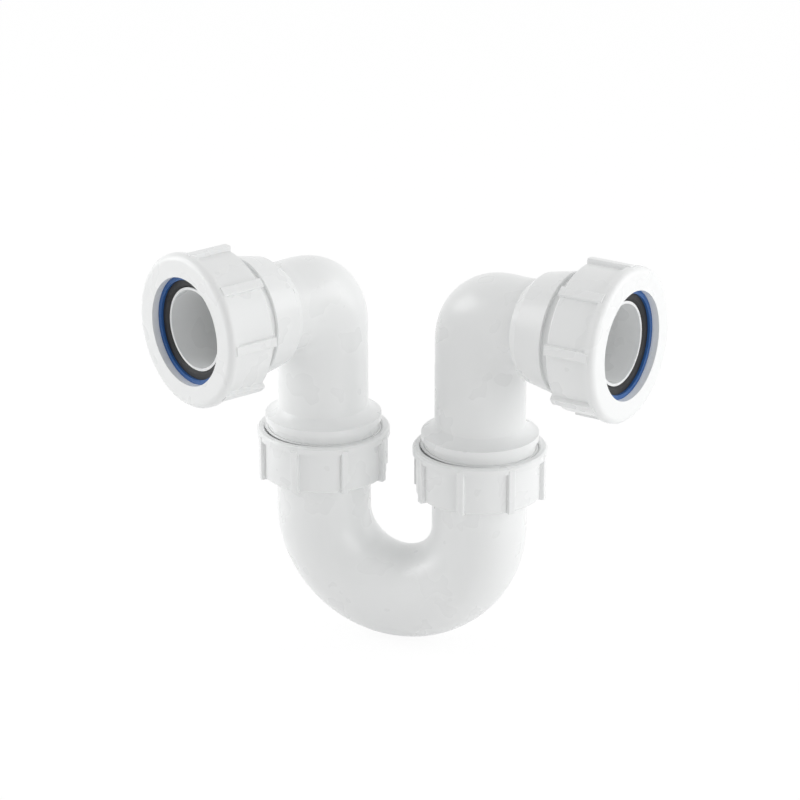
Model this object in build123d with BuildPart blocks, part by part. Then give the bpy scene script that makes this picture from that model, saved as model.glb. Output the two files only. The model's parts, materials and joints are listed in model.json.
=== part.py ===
"""Running trap: a U-bend hung from two swivelling elbows, with a pipe joint at the end of each elbow.

Each elbow stands on the U-bend in a swivel joint, closed by a captive union nut over a rubber washer.
Its other end takes a waste pipe: an inner socket holds the pipe, a rubber seal lies round the socket's
mouth in a threaded sleeve, and a ribbed nut squeezes the seal through a slip washer.

Millimetres. The origin is the centre of the inlet socket's mouth. +Z is up, and +X runs along the
U-bend, from the leg under the inlet to the leg under the outlet. The photo looks from the -Y side.
"""

import os
from math import cos, radians, sin, sqrt

from build123d import *

# Layout
leg_spacing = 75.0  # between the two legs of the U-bend
arm_rise = 100.5  # from the centre of the bend up to the axis of the arms
arm_length = 76.0  # from a leg's axis to the face of its pipe nut
inlet_turn = 58.4  # degrees from the line of the U-bend round to the front
outlet_turn = 13.0

# Tubes
bend_radius = 21.5
bend_wall = 2.5
elbow_radius = 20.5
elbow_wall = 2.5
elbow_turn = 10.5  # radius of the elbow's centre line, tighter than the tube itself
crease_radius = 3.0  # rounding inside the elbow's turn
turn_steps = 6  # sections that shape the outside of the turn

# Swivel joint, along a leg
union_foot_rise = 16.5  # from the centre of the bend up to the foot of the union nut
union_height = 22.2
union_lip = 3.0
union_wall = 2.0  # outside the bore that takes the thread
union_rim = 3.4
union_rim_step = 0.3  # by which the rim stays inside the ribs
union_rib_width = 3.4
union_thread_depth = 1.1
flange_thickness = 3.0
washer_thickness = 3.0
collar_reach = 5.9  # from the elbow's tube out to the edge of the collar
collar_step = 0.1  # by which the collar covers the crest of the thread
collar_height = 3.0
collar_gap = 3.7  # from the nut's rim up to the collar
flare_height = 4.0
flare_curve = 9.0
cavity_wall = 3.4
cavity_cone = 6.0

# Pipe joint, along an arm
nut_length = 24.0
nut_lip = 3.4
nut_wall = 4.4  # outside the bore that takes the thread
nut_rim = 4.4
nut_rim_step = 0.4
nut_rim_curve = 3.0
nut_rib_width = 4.4
entry_radius = 24.35  # the hole in the nut's face
slip_thickness = 1.2
slip_hole = 22.4
seal_length = 11.2
seal_flange = 5.0
seal_chamfer = 1.0
mouth_depth = 5.6  # from the nut's face in to the rim of the inner socket
pipe_radius = 17.6  # inner socket, for a pipe of 34.6 mm
pipe_depth = 24.4
pipe_stop = 1.7
stop_length = 2.0
stop_cone = 4.0
socket_wall = 1.15
core_wall = 2.6  # of the socket's core, between waterway and pocket
sleeve_wall = 2.4
pocket_floor = 3.0  # from the shoulder in to the bottom of the pocket
shoulder_start = 26.5  # from the leg's axis
shoulder_length = 5.0
shoulder_step = 4.3  # from the elbow's tube out to the socket, which widens from there to its brim
brim_step = 0.6  # from the root of the thread out to the brim
brim_gap = 6.2  # from the brim to the nut's back
brim_edge = 0.4
relief_depth = 1.0  # of the plain neck between the brim and the thread
thread_root = 27.0
thread_depth = 1.4

# Nuts, both kinds
rib_count = 8
rib_height = 2.0
rib_rounding = 0.5
edge_chamfer = 0.8
inlet_union_rib = -5.5  # degrees from +X to a rib
outlet_union_rib = 1.3
inlet_nut_rib = -0.5  # degrees to a rib from level at the front, right-handed about the way out
outlet_nut_rib = -6.6

# Fits
thread_clearance = 0.3
seat_clearance = 0.1
turn_clearance = 0.3
loose_clearance = 0.6

# Heights along a leg, from the axis of the arms
bend_centre = -arm_rise
union_foot = bend_centre + union_foot_rise
union_top = union_foot + union_height
flange_foot = union_foot + union_lip + turn_clearance
flange_top = flange_foot + flange_thickness
washer_top = flange_top + washer_thickness
collar_foot = union_top + collar_gap
collar_top = collar_foot + collar_height
flare_top = collar_top + flare_height

# Places along an arm, from the leg's axis
nut_back = arm_length - nut_length
lip_back = arm_length - nut_lip
slip_front = lip_back - seat_clearance
slip_back = slip_front - slip_thickness
seal_front = slip_back - seat_clearance
seal_back = seal_front - seal_length
sleeve_end = seal_front - seal_flange - seat_clearance
mouth = arm_length - mouth_depth
pipe_end = mouth - pipe_depth
shoulder_end = shoulder_start + shoulder_length
pocket_end = shoulder_end + pocket_floor
brim = nut_back - brim_gap
turn_end = elbow_radius + crease_radius

# Radii that follow
bend_bore = bend_radius - bend_wall
elbow_bore = elbow_radius - elbow_wall
collar_radius = elbow_radius + collar_reach
union_root = collar_radius - collar_step - union_thread_depth
union_bore = union_root + union_thread_depth + thread_clearance
union_barrel = union_bore + union_wall
flange_radius = union_bore - loose_clearance
union_hole = bend_radius + turn_clearance
cavity_radius = union_root - cavity_wall
nut_bore = thread_root + thread_depth + thread_clearance
nut_barrel = nut_bore + nut_wall
washer_radius = nut_bore - loose_clearance
socket_outside = pipe_radius + socket_wall
core_radius = elbow_bore + core_wall
socket_radius = elbow_radius + shoulder_step
brim_radius = thread_root + brim_step
relief_radius = thread_root - relief_depth
pocket_radius = socket_radius - sleeve_wall
mouth_radius = thread_root - sleeve_wall
stop_radius = pipe_radius - pipe_stop
seal_hole = socket_outside + turn_clearance
seal_plug = mouth_radius - seat_clearance

# Where the legs stand, and the frame of each: X along the arm, Z up
inlet_way = Vector(-cos(radians(inlet_turn)), -sin(radians(inlet_turn)), 0)
outlet_way = Vector(cos(radians(outlet_turn)), -sin(radians(outlet_turn)), 0)
inlet_leg = inlet_way * -mouth
outlet_leg = inlet_leg + Vector(leg_spacing, 0, 0)
inlet = Plane(origin=inlet_leg, x_dir=inlet_way, z_dir=(0, 0, 1))
outlet = Plane(origin=outlet_leg, x_dir=outlet_way, z_dir=(0, 0, 1))


def leg_axis(frame):
    return Axis(frame.origin, frame.z_dir)


def arm_axis(frame):
    return Axis(frame.origin, frame.x_dir)


def upright(frame):
    """The plane through a leg and its arm: X along the arm, Y up."""
    return Plane(origin=frame.origin, x_dir=frame.x_dir, z_dir=-frame.y_dir)


def level(frame, height):
    """A level plane across a leg."""
    return Plane(origin=frame.from_local_coords((0, 0, height)), x_dir=(1, 0, 0), z_dir=(0, 0, 1))


def across(frame, place):
    """A plane across an arm, facing out along it, with X level and towards the front."""
    front = frame.y_dir if frame.y_dir.Y < 0 else -frame.y_dir
    return Plane(origin=frame.from_local_coords((place, 0, 0)), x_dir=front, z_dir=frame.x_dir)


def spin(frame, axis, points, mode=Mode.ADD):
    """Turns a closed outline in the leg's upright plane about the leg or the arm."""
    with BuildSketch(upright(frame)) as outline:
        with BuildLine():
            Polyline(*points, close=True)
        make_face()
    revolve(outline.sketch, axis=axis, mode=mode)


def outer_turn(frame):
    """The outside of the elbow's turn: a tight round back and a small round crease, joined by ellipses
    that fan out from the centre of the crease."""
    reach = turn_end - elbow_turn
    crease = frame.from_local_coords((turn_end, 0, -turn_end))
    sections = []
    for step in range(turn_steps + 1):
        angle = radians(90 * step / turn_steps)
        lean = reach * (cos(angle) + sin(angle))
        far = lean + sqrt(lean**2 - 2 * reach**2 + (elbow_turn + elbow_radius) ** 2)
        if step in (0, turn_steps):
            far = turn_end + elbow_radius
        half = (far - crease_radius) / 2
        outward = frame.x_dir * -cos(angle) + frame.z_dir * sin(angle)
        centre = crease + outward * (crease_radius + half)
        spot = Plane(origin=centre, x_dir=outward, z_dir=outward.cross(frame.y_dir))
        with BuildSketch(spot) as section:
            Ellipse(half, elbow_radius)
        sections.append(section.sketch.faces()[0])
    loft(sections)


def bore_turn(frame):
    """The waterway's turn. It turns tighter than its own radius, so only the part of its section that
    lies outside the turning axis goes round."""
    start = Plane(origin=frame.from_local_coords((0, 0, -elbow_turn)), x_dir=frame.x_dir, z_dir=(0, 0, 1))
    with BuildSketch(start) as section:
        Circle(elbow_bore)
        with Locations((elbow_turn + elbow_bore, 0)):
            Rectangle(2 * elbow_bore, 2 * elbow_bore, mode=Mode.SUBTRACT)
    hinge = Axis(frame.from_local_coords((elbow_turn, 0, -elbow_turn)), frame.y_dir)
    revolve(section.sketch, axis=hinge, revolution_arc=90, mode=Mode.SUBTRACT)


def elbow(frame):
    """Elbow: a threaded end, a collar and a flare on the leg, then the turn, as far as the shoulder."""
    with BuildPart() as part:
        # Outside of the leg
        with BuildSketch(upright(frame)) as outline:
            with BuildLine():
                Polyline(
                    (0, washer_top),
                    (0, -turn_end),
                    (elbow_radius, -turn_end),
                    (elbow_radius, flare_top),
                )
                RadiusArc((elbow_radius, flare_top), (collar_radius, collar_top), -flare_curve)
                Polyline(
                    (collar_radius, collar_top),
                    (collar_radius, collar_foot),
                    (union_root, collar_foot),
                    (union_root, washer_top),
                    (0, washer_top),
                )
            make_face()
        revolve(outline.sketch, axis=leg_axis(frame))
        # Outside of the turn and of the short tube beyond it
        outer_turn(frame)
        spin(
            frame,
            arm_axis(frame),
            [(turn_end, 0), (turn_end, elbow_radius), (shoulder_start, elbow_radius), (shoulder_start, 0)],
        )
        # Waterway: the leg's bore with its wider foot, the turn, and the way into the socket
        spin(
            frame,
            leg_axis(frame),
            [
                (0, -elbow_turn),
                (elbow_bore, -elbow_turn),
                (elbow_bore, collar_foot + cavity_cone),
                (cavity_radius, collar_foot),
                (cavity_radius, washer_top),
                (0, washer_top),
            ],
            Mode.SUBTRACT,
        )
        bore_turn(frame)
        spin(
            frame,
            arm_axis(frame),
            [(elbow_turn, 0), (elbow_turn, elbow_bore), (shoulder_start, elbow_bore), (shoulder_start, 0)],
            Mode.SUBTRACT,
        )
    return part


def socket(frame):
    """Pipe end of the elbow's moulding: shoulder, brim, threaded sleeve, and inner socket with its stop."""
    with BuildPart() as part:
        spin(
            frame,
            arm_axis(frame),
            [
                (shoulder_start, elbow_bore),
                (shoulder_start, elbow_radius),
                (shoulder_end, socket_radius),
                (brim - brim_edge, brim_radius),
                (brim, brim_radius - brim_edge),
                (brim, relief_radius),
                (nut_back, relief_radius),
                (nut_back + thread_depth, thread_root),
                (sleeve_end, thread_root),
                (sleeve_end, mouth_radius),
                (seal_back - seal_chamfer, mouth_radius),
                (pocket_end, pocket_radius),
                (pocket_end, core_radius),
                (pipe_end, core_radius),
                (pipe_end + stop_cone, socket_outside),
                (mouth, socket_outside),
                (mouth, pipe_radius),
                (pipe_end, pipe_radius),
                (pipe_end, stop_radius),
                (pipe_end - stop_length, stop_radius),
                (pipe_end - stop_length - stop_cone, elbow_bore),
            ],
        )
    return part


def ribs(plane, first, outer, width, length):
    """Grip ribs that stand on a nut's barrel, up from a plane across its axis."""
    with BuildSketch(plane) as bars:
        with PolarLocations(outer - rib_height, rib_count, start_angle=first):
            Rectangle(2 * rib_height, width)
        fillet(bars.vertices(), rib_rounding)
    extrude(bars.sketch, amount=length)


def union_nut(frame, first):
    """Union nut: a lip at its foot under the U-bend's flange, ribs, and a rim round its open top."""
    outer = union_barrel + rib_height
    rim = outer - union_rim_step
    with BuildPart() as part:
        spin(
            frame,
            leg_axis(frame),
            [
                (0, union_foot),
                (union_barrel - edge_chamfer, union_foot),
                (union_barrel, union_foot + edge_chamfer),
                (union_barrel, union_top - union_rim),
                (rim, union_top - union_rim),
                (rim, union_top - edge_chamfer),
                (rim - edge_chamfer, union_top),
                (0, union_top),
            ],
        )
        ribs(level(frame, union_foot), first, outer, union_rib_width, union_height - union_rim / 2)
        spin(
            frame,
            leg_axis(frame),
            [
                (0, union_foot),
                (union_hole, union_foot),
                (union_hole, union_foot + union_lip),
                (union_bore, union_foot + union_lip),
                (union_bore, union_top - edge_chamfer),
                (union_bore + edge_chamfer, union_top),
                (0, union_top),
            ],
            Mode.SUBTRACT,
        )
    return part


def pipe_nut(frame, first):
    """Pipe nut: a rounded rim and a lip at its face, and ribs from there to its back edge."""
    outer = nut_barrel + rib_height
    rim = outer - nut_rim_step
    with BuildPart() as part:
        with BuildSketch(upright(frame)) as outline:
            with BuildLine():
                Polyline(
                    (arm_length, rim - nut_rim_curve),
                    (arm_length, 0),
                    (nut_back, 0),
                    (nut_back, nut_barrel - edge_chamfer),
                    (nut_back + edge_chamfer, nut_barrel),
                    (arm_length - nut_rim, nut_barrel),
                    (arm_length - nut_rim, rim),
                    (arm_length - nut_rim_curve, rim),
                )
                RadiusArc(
                    (arm_length - nut_rim_curve, rim),
                    (arm_length, rim - nut_rim_curve),
                    nut_rim_curve,
                )
            make_face()
        revolve(outline.sketch, axis=arm_axis(frame))
        ribs(across(frame, nut_back), first, outer, nut_rib_width, nut_length - nut_rim_curve)
        spin(
            frame,
            arm_axis(frame),
            [
                (nut_back, 0),
                (nut_back, nut_bore + edge_chamfer),
                (nut_back + edge_chamfer, nut_bore),
                (lip_back, nut_bore),
                (lip_back, entry_radius),
                (arm_length, entry_radius),
                (arm_length, 0),
            ],
            Mode.SUBTRACT,
        )
    return part


def union_washer(frame):
    """Flat rubber washer between the U-bend's flange and the elbow's end."""
    with BuildPart() as part:
        with BuildSketch(level(frame, flange_top)) as section:
            Circle(flange_radius)
            Circle(bend_bore, mode=Mode.SUBTRACT)
        extrude(section.sketch, amount=washer_thickness)
    return part


def slip_washer(frame):
    """Thin plastic ring that lets the nut turn without dragging the seal round."""
    with BuildPart() as part:
        with BuildSketch(across(frame, slip_back)) as section:
            Circle(washer_radius)
            Circle(slip_hole, mode=Mode.SUBTRACT)
        extrude(section.sketch, amount=slip_thickness)
    return part


def seal(frame):
    """Rubber seal: a plug in the sleeve's mouth and a flange over the sleeve's end."""
    with BuildPart() as part:
        spin(
            frame,
            arm_axis(frame),
            [
                (seal_back, seal_hole),
                (seal_back, seal_plug),
                (seal_front - seal_flange, seal_plug),
                (seal_front - seal_flange, washer_radius),
                (seal_front, washer_radius),
                (seal_front, seal_hole + seal_chamfer),
                (seal_front - seal_chamfer, seal_hole),
            ],
        )
    return part


# U-bend: half a ring and two legs, with a flange on each leg
with BuildPart() as u_bend:
    middle = (inlet_leg + outlet_leg) * 0.5 + Vector(0, 0, bend_centre)
    turning = Axis(middle, (0, 1, 0))
    with BuildSketch(level(outlet, bend_centre)) as outside:
        Circle(bend_radius)
    revolve(outside.sketch, axis=turning, revolution_arc=180)
    for frame in (inlet, outlet):
        with BuildSketch(level(frame, bend_centre)) as leg_section:
            Circle(bend_radius)
        extrude(leg_section.sketch, amount=flange_top - bend_centre)
        with BuildSketch(level(frame, flange_foot)) as flange_section:
            Circle(flange_radius)
        extrude(flange_section.sketch, amount=flange_thickness)
    with BuildSketch(level(outlet, bend_centre)) as inside:
        Circle(bend_bore)
    revolve(inside.sketch, axis=turning, revolution_arc=180, mode=Mode.SUBTRACT)
    for frame in (inlet, outlet):
        with BuildSketch(level(frame, bend_centre)) as bore_section:
            Circle(bend_bore)
        extrude(bore_section.sketch, amount=flange_top - bend_centre, mode=Mode.SUBTRACT)

pieces = {
    "u_bend": u_bend,
    "inlet_elbow": elbow(inlet),
    "inlet_socket": socket(inlet),
    "inlet_union_nut": union_nut(inlet, inlet_union_rib),
    "inlet_union_washer": union_washer(inlet),
    "inlet_pipe_nut": pipe_nut(inlet, inlet_nut_rib),
    "inlet_slip_washer": slip_washer(inlet),
    "inlet_seal": seal(inlet),
    "outlet_elbow": elbow(outlet),
    "outlet_socket": socket(outlet),
    "outlet_union_nut": union_nut(outlet, outlet_union_rib),
    "outlet_union_washer": union_washer(outlet),
    "outlet_pipe_nut": pipe_nut(outlet, outlet_nut_rib),
    "outlet_slip_washer": slip_washer(outlet),
    "outlet_seal": seal(outlet),
}

os.makedirs("parts", exist_ok=True)
for name, piece in pieces.items():
    piece.part.label = name
    export_step(piece.part, f"parts/{name}.step")
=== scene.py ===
# %% [markdown]
# # A running trap in white plastic
# The trap hangs in a waste pipe: a U-bend holds water, two elbows swivel on it, and a ribbed nut on each
# elbow grips a pipe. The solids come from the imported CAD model, so this script adds what they leave out:
# finishes, screw threads, light and a camera.

# %% Load the frame
import json
import math

import bpy
from mathutils import Matrix, Vector


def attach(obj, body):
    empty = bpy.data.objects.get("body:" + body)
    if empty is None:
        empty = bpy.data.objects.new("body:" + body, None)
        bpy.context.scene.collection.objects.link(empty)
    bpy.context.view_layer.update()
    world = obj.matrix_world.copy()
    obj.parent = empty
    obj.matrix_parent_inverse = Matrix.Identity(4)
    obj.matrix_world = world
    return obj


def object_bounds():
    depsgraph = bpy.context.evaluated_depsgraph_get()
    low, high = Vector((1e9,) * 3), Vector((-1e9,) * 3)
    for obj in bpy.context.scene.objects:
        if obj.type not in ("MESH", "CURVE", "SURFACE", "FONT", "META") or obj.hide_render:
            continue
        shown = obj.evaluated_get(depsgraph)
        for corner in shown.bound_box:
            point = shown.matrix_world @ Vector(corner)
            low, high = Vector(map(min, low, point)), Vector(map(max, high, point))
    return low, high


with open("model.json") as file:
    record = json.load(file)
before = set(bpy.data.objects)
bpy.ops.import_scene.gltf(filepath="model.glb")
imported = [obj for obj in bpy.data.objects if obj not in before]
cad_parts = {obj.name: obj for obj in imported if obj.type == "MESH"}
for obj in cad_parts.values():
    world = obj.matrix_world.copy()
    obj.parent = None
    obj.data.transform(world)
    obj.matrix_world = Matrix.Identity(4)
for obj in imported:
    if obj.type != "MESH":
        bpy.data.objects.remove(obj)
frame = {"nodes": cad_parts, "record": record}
cad_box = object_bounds()
nodes = frame["nodes"]
print("nodes", sorted(nodes))

# %% [markdown]
# Everything on the trap stands on four axes: the two legs of the U-bend, which are upright, and the two
# arms, which are level and carry the pipes. The mounts in the record give the mouth and the direction of
# each arm, and from there the legs follow.

# %% Axes of the legs and the arms
MM = 0.001
UP = Vector((0, 0, 1))
MOUTH = 70.4 * MM  # from a leg's axis out to the mouth of its pipe socket
mounts = {mount["name"]: mount for mount in frame["record"]["mounts"]}
ends = {}
for end in ("inlet", "outlet"):
    mount = mounts[end + "_pipe"]
    way = Vector(mount["axis"]).normalized()
    ends[end] = {"way": way, "leg": Vector(mount["pos_m"]) - way * MOUTH}
middle = (ends["inlet"]["leg"] + ends["outlet"]["leg"]) / 2
print("legs", [tuple(round(c, 4) for c in axes["leg"]) for axes in ends.values()])

# %% [markdown]
# Finishes. The body is a white moulded plastic: glossy, with a very faint unevenness that breaks up the
# reflections as it does on a real moulding. The seals are black rubber with a dusty bloom, and the slip
# washers a satin blue plastic. Each finish is a small node tree on Object coordinates, so that the grain
# stays on the piece when a joint moves.


# %% Helpers for node trees
def new_material(name, colour):
    material = bpy.data.materials.new(name)
    material.use_nodes = True
    material.diffuse_color = (*colour, 1.0)
    tree = material.node_tree
    shader = tree.nodes["Principled BSDF"]
    shader.inputs["Base Color"].default_value = (*colour, 1.0)
    return material, tree, shader


def noise(tree, scale, detail=2.0):
    coordinates = tree.nodes.new("ShaderNodeTexCoord")
    node = tree.nodes.new("ShaderNodeTexNoise")
    node.inputs["Scale"].default_value = scale
    node.inputs["Detail"].default_value = detail
    tree.links.new(coordinates.outputs["Object"], node.inputs["Vector"])
    return node.outputs["Fac"]


def tinted(tree, shader, source, low, high, start=0.3, end=0.7):
    """Lets a noise run the base colour from a low to a high value."""
    node = tree.nodes.new("ShaderNodeValToRGB")
    first, last = node.color_ramp.elements
    first.position, first.color = start, (*low, 1.0)
    last.position, last.color = end, (*high, 1.0)
    tree.links.new(source, node.inputs["Fac"])
    tree.links.new(node.outputs["Color"], shader.inputs["Base Color"])


def dulled(tree, shader, source, low, high):
    """Lets a noise run the roughness from a low to a high value."""
    node = tree.nodes.new("ShaderNodeMapRange")
    node.inputs["To Min"].default_value = low
    node.inputs["To Max"].default_value = high
    tree.links.new(source, node.inputs["Value"])
    tree.links.new(node.outputs["Result"], shader.inputs["Roughness"])


# %% White moulded plastic
def white_plastic():
    material, tree, shader = new_material("white_plastic", colour=(0.863, 0.872, 0.87))
    shader.inputs["IOR"].default_value = 1.5
    dulled(tree, shader, noise(tree, scale=60.0), low=0.24, high=0.32)
    bump = tree.nodes.new("ShaderNodeBump")
    bump.inputs["Strength"].default_value = 0.02
    bump.inputs["Distance"].default_value = 0.2 * MM
    tree.links.new(noise(tree, scale=150.0, detail=1.0), bump.inputs["Height"])
    tree.links.new(bump.outputs["Normal"], shader.inputs["Normal"])
    return material


# %% Black rubber
def black_rubber():
    material, tree, shader = new_material("black_rubber", colour=(0.02, 0.02, 0.022))
    bloom = noise(tree, scale=90.0, detail=4.0)
    tinted(tree, shader, bloom, low=(0.010, 0.010, 0.011), high=(0.024, 0.024, 0.026))
    dulled(tree, shader, noise(tree, scale=240.0), low=0.5, high=0.7)
    return material


# %% Blue washer plastic
def blue_plastic():
    material, tree, shader = new_material("blue_plastic", colour=(0.03, 0.11, 0.34))
    tinted(tree, shader, noise(tree, scale=70.0), low=(0.022, 0.10, 0.31), high=(0.030, 0.12, 0.36))
    dulled(tree, shader, noise(tree, scale=160.0), low=0.36, high=0.46)
    return material


finishes = {"white_plastic": white_plastic(), "black_rubber": black_rubber(), "blue_plastic": blue_plastic()}
for part in frame["record"]["subparts"]:
    mesh = nodes[part["node"]].data
    mesh.materials.clear()
    mesh.materials.append(finishes[part["material_slot"]])

# %% [markdown]
# Screw threads. The CAD cylinders under the nuts are the thread's root. The ridge itself follows a helix,
# which is a rule, so Geometry Nodes make it: a spiral, a trapezium drawn along it, and materials at the end.
# The same tree serves the two swivel joints and the two pipe joints, with other sizes.

# %% Thread tree
SIZES = ("Radius", "Pitch", "Turns", "Root Width", "Crest Width", "Depth")
STEPS_PER_TURN = 96


def thread_tree():
    tree = bpy.data.node_groups.new("Screw thread", "GeometryNodeTree")
    for name in SIZES:
        tree.interface.new_socket(name, in_out="INPUT", socket_type="NodeSocketFloat")
    tree.interface.new_socket("Finish", in_out="INPUT", socket_type="NodeSocketMaterial")
    tree.interface.new_socket("Geometry", in_out="OUTPUT", socket_type="NodeSocketGeometry")
    new, link = tree.nodes.new, tree.links.new
    sizes = new("NodeGroupInput").outputs
    rise = new("ShaderNodeMath")
    rise.operation = "MULTIPLY"
    link(sizes["Pitch"], rise.inputs[0])
    link(sizes["Turns"], rise.inputs[1])
    helix = new("GeometryNodeCurveSpiral")
    helix.inputs["Resolution"].default_value = STEPS_PER_TURN
    link(sizes["Turns"], helix.inputs["Rotations"])
    link(sizes["Radius"], helix.inputs["Start Radius"])
    link(sizes["Radius"], helix.inputs["End Radius"])
    link(rise.outputs[0], helix.inputs["Height"])
    level = new("GeometryNodeSetCurveNormal")
    level.mode = "Z_UP"
    link(helix.outputs["Curve"], level.inputs["Curve"])
    section = new("GeometryNodeCurvePrimitiveQuadrilateral")
    section.mode = "TRAPEZOID"
    link(sizes["Root Width"], section.inputs["Bottom Width"])
    link(sizes["Crest Width"], section.inputs["Top Width"])
    link(sizes["Depth"], section.inputs["Height"])
    section.inputs["Offset"].default_value = 0.0
    sweep = new("GeometryNodeCurveToMesh")
    link(level.outputs["Curve"], sweep.inputs["Curve"])
    link(section.outputs["Curve"], sweep.inputs["Profile Curve"])
    sweep.inputs["Fill Caps"].default_value = True
    real = new("GeometryNodeRealizeInstances")
    link(sweep.outputs["Mesh"], real.inputs["Geometry"])
    paint = new("GeometryNodeSetMaterial")
    link(real.outputs["Geometry"], paint.inputs["Geometry"])
    link(sizes["Finish"], paint.inputs["Material"])
    link(paint.outputs["Geometry"], new("NodeGroupOutput").inputs["Geometry"])
    return tree


# %% Helpers that run the tree and put its result in place
def grown(name, tree, values, place):
    """Runs a tree on an empty mesh, and returns its result as a plain mesh object in its place."""
    holder = bpy.data.objects.new(name + "_tree", bpy.data.meshes.new(name + "_tree"))
    bpy.context.scene.collection.objects.link(holder)
    modifier = holder.modifiers.new("grow", "NODES")
    modifier.node_group = tree
    for item in tree.interface.items_tree:
        if item.in_out == "INPUT" and item.name in values:
            modifier[item.identifier] = values[item.name]
    ready = holder.evaluated_get(bpy.context.evaluated_depsgraph_get())
    mesh = bpy.data.meshes.new_from_object(ready)
    holder.modifiers.remove(modifier)
    bpy.data.objects.remove(holder)
    mesh.transform(place)
    mesh.name = name
    piece = bpy.data.objects.new(name, mesh)
    bpy.context.scene.collection.objects.link(piece)
    return piece


def along(point, way):
    """A matrix that takes +Z to a direction and the origin to a point."""
    return Matrix.Translation(point) @ way.to_track_quat("Z", "X").to_matrix().to_4x4()


# %% Threads on the elbows
PITCH = 4.0 * MM
UNION_START = -73.0 * MM  # height on the leg, from the axis of the arms
PIPE_START = 54.8 * MM  # place on the arm, from the leg's axis
UNION_SIZES = {"Radius": 25.7, "Root Width": 2.6, "Crest Width": 1.1, "Depth": 1.0}
PIPE_SIZES = {"Radius": 27.6, "Root Width": 2.8, "Crest Width": 1.2, "Depth": 1.2}
UNION_TURNS = 3.3
PIPE_TURNS = 2.45
screw = thread_tree()


def thread(name, sizes, turns, start, way, body):
    values = {size: value * MM for size, value in sizes.items()}
    values.update({"Pitch": PITCH, "Turns": turns, "Finish": finishes["white_plastic"]})
    ridge = grown(name, screw, values, along(start, way))
    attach(ridge, body)
    print(name, len(ridge.data.polygons), "faces")


for end, axes in ends.items():
    leg, way, body = axes["leg"], axes["way"], end + "_elbow"
    thread(end + "_union_thread", UNION_SIZES, UNION_TURNS, leg + UP * UNION_START, UP, body)
    thread(end + "_pipe_thread", PIPE_SIZES, PIPE_TURNS, leg + way * PIPE_START, way, body)

# %% [markdown]
# The photograph is a studio shot on pure white. A pale floor lies under the U-bend, and where the camera
# or a reflection looks at it, most of it glows white, so that only a breath of shadow is left.

# %% Floor
FLOOR = cad_box[0][2] - 0.5 * MM
FLOOR_HALF = 8.0
FLOOR_COLOUR = (0.9, 0.9, 0.9)
GLOW = 1.03
GLOW_SHARE = 0.9


def seen_rays(tree):
    """One where a ray comes from the camera, a reflection or a transmission, and nought where it lights."""
    path = tree.nodes.new("ShaderNodeLightPath")
    both = tree.nodes.new("ShaderNodeMath")
    both.operation = "MAXIMUM"
    tree.links.new(path.outputs["Is Camera Ray"], both.inputs[0])
    tree.links.new(path.outputs["Is Glossy Ray"], both.inputs[1])
    every = tree.nodes.new("ShaderNodeMath")
    every.operation = "MAXIMUM"
    tree.links.new(both.outputs[0], every.inputs[0])
    tree.links.new(path.outputs["Is Transmission Ray"], every.inputs[1])
    return every.outputs[0]


def floor_finish():
    material, tree, shader = new_material("pale_floor", FLOOR_COLOUR)
    shader.inputs["Roughness"].default_value = 0.9
    glow = tree.nodes.new("ShaderNodeEmission")
    glow.inputs["Strength"].default_value = GLOW
    share = tree.nodes.new("ShaderNodeMath")
    share.operation = "MULTIPLY"
    share.inputs[1].default_value = GLOW_SHARE
    tree.links.new(seen_rays(tree), share.inputs[0])
    mix = tree.nodes.new("ShaderNodeMixShader")
    tree.links.new(share.outputs[0], mix.inputs["Fac"])
    tree.links.new(shader.outputs["BSDF"], mix.inputs[1])
    tree.links.new(glow.outputs["Emission"], mix.inputs[2])
    tree.links.new(mix.outputs["Shader"], tree.nodes["Material Output"].inputs["Surface"])
    return material


corners = [(x * FLOOR_HALF, y * FLOOR_HALF, FLOOR) for x, y in ((-1, -1), (1, -1), (1, 1), (-1, 1))]
floor_mesh = bpy.data.meshes.new("floor")
floor_mesh.from_pydata(corners, [], [(0, 1, 2, 3)])
floor_mesh.materials.append(floor_finish())
floor = bpy.data.objects.new("floor", floor_mesh)
bpy.context.scene.collection.objects.link(floor)
print("floor at", round(FLOOR, 4))

# %% [markdown]
# Light. In the photograph the tubes are bright along their flanks, with a greyer band where they face the
# front, as in a tent of white cloth with a dim front. The world is that tent: its light falls off towards
# the front. Three tall soft boxes lift the flanks: one at the left, one behind at the right, and one at the
# right of the front, whose light passes the outlet's leg and reaches the inlet's.


# %% Directions
def direction(azimuth, elevation):
    """A unit vector from the trap towards a place, with azimuth 0 at the front and growing to the right."""
    a, e = math.radians(azimuth), math.radians(elevation)
    return Vector((math.sin(a) * math.cos(e), -math.cos(a) * math.cos(e), math.sin(e)))


AIM_HEIGHT = -64.8 * MM  # from the axis of the arms
AIM = middle + UP * AIM_HEIGHT
NEAR = direction(azimuth=19.48, elevation=21.43)  # from the trap towards the camera
DIM = direction(azimuth=-5.0, elevation=15.0)  # from the trap towards the dim front of the tent

# %% World
TENT_BRIGHT = 0.82
TENT_DIM = 0.45
DIM_FROM = -0.2  # cosine of the angle off the dim front where the light starts to fall
WHITE = (1.0, 1.0, 1.0, 1.0)

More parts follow.
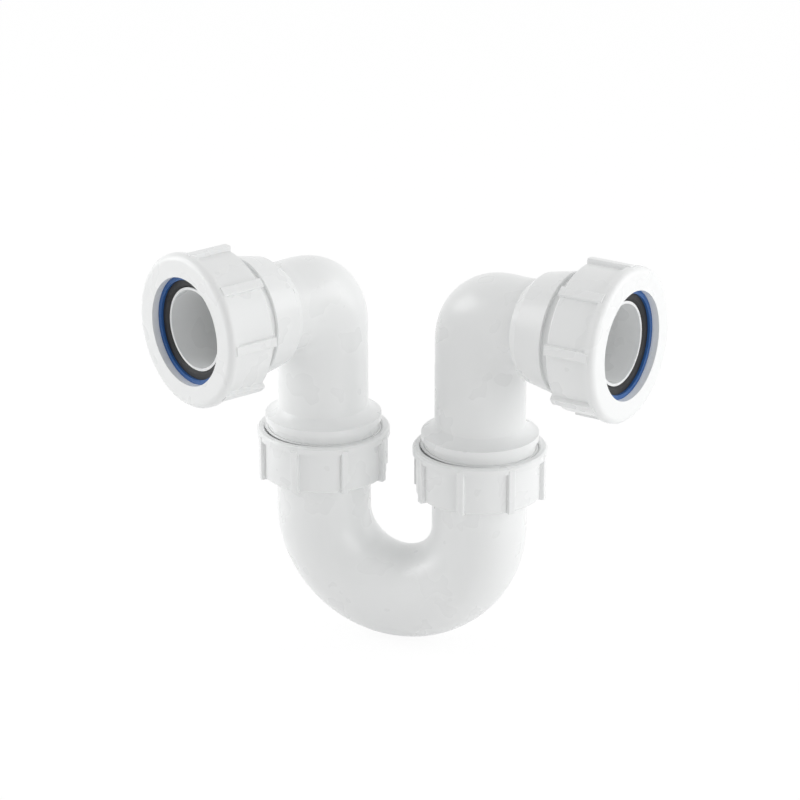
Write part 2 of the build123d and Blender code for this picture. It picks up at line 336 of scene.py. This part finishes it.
world = bpy.data.worlds.new("studio")
bpy.context.scene.world = world
world.use_nodes = True
sky = world.node_tree
tent = sky.nodes["Background"]
tent.inputs["Color"].default_value = WHITE
outward = sky.nodes.new("ShaderNodeTexCoord")
nearness = sky.nodes.new("ShaderNodeVectorMath")
nearness.operation = "DOT_PRODUCT"
nearness.inputs[1].default_value = DIM
sky.links.new(outward.outputs["Generated"], nearness.inputs[0])
strength = sky.nodes.new("ShaderNodeMapRange")
strength.inputs["From Min"].default_value = DIM_FROM
strength.inputs["From Max"].default_value = 1.0
strength.inputs["To Min"].default_value = TENT_BRIGHT
strength.inputs["To Max"].default_value = TENT_DIM
sky.links.new(nearness.outputs["Value"], strength.inputs["Value"])
sky.links.new(strength.outputs["Result"], tent.inputs["Strength"])
seen = sky.nodes.new("ShaderNodeBackground")
seen.inputs["Color"].default_value = WHITE
seen.inputs["Strength"].default_value = 1.0
pick = sky.nodes.new("ShaderNodeMixShader")
sky.links.new(seen_rays(sky), pick.inputs["Fac"])
sky.links.new(tent.outputs["Background"], pick.inputs[1])
sky.links.new(seen.outputs["Background"], pick.inputs[2])
sky.links.new(pick.outputs["Shader"], sky.nodes["World Output"].inputs["Surface"])
print("tent from", TENT_BRIGHT, "behind to", TENT_DIM, "at the front")

# %% Soft boxes
BOX_DISTANCE = 1.2
BOX_HEIGHT = 1.2


def soft_box(name, azimuth, elevation, width, power):
    lamp = bpy.data.lights.new(name, "AREA")
    lamp.shape = "RECTANGLE"
    lamp.size = width
    lamp.size_y = BOX_HEIGHT
    lamp.energy = power
    box = bpy.data.objects.new(name, lamp)
    out = direction(azimuth, elevation)
    box.location = AIM + out * BOX_DISTANCE
    box.rotation_euler = out.to_track_quat("Z", "Y").to_euler()
    bpy.context.scene.collection.objects.link(box)


soft_box("left_box", azimuth=-80.0, elevation=14.0, width=0.7, power=6.9)
soft_box("right_box", azimuth=112.0, elevation=12.0, width=0.8, power=4.4)
soft_box("front_box", azimuth=62.0, elevation=10.0, width=0.5, power=3.2)
print("soft boxes", [item.name for item in bpy.data.lights])

# %% [markdown]
# The camera stands where the photograph was taken from: a long lens, a little to the right and above. The
# lens, the distance and the two angles come from matching the trap's own sizes to the picture.

# %% Camera
DISTANCE = 1.501
FOCUS_PIXELS = 3317.0
FRAME_PIXELS = 800.0
AIM_PIXEL = (401.2, 441.0)  # where the aim shows in the picture
lens = bpy.data.cameras.new("camera")
lens.sensor_width = 36.0
lens.lens = FOCUS_PIXELS / FRAME_PIXELS * lens.sensor_width
lens.shift_x = (FRAME_PIXELS / 2 - AIM_PIXEL[0]) / FRAME_PIXELS
lens.shift_y = (AIM_PIXEL[1] - FRAME_PIXELS / 2) / FRAME_PIXELS
lens.clip_end = 20.0
camera = bpy.data.objects.new("camera", lens)
camera.location = AIM + NEAR * DISTANCE
camera.rotation_euler = NEAR.to_track_quat("Z", "Y").to_euler()
bpy.context.scene.collection.objects.link(camera)
bpy.context.scene.camera = camera
bpy.context.scene.view_settings.view_transform = "Standard"
print("camera with a lens of", round(lens.lens), "mm")
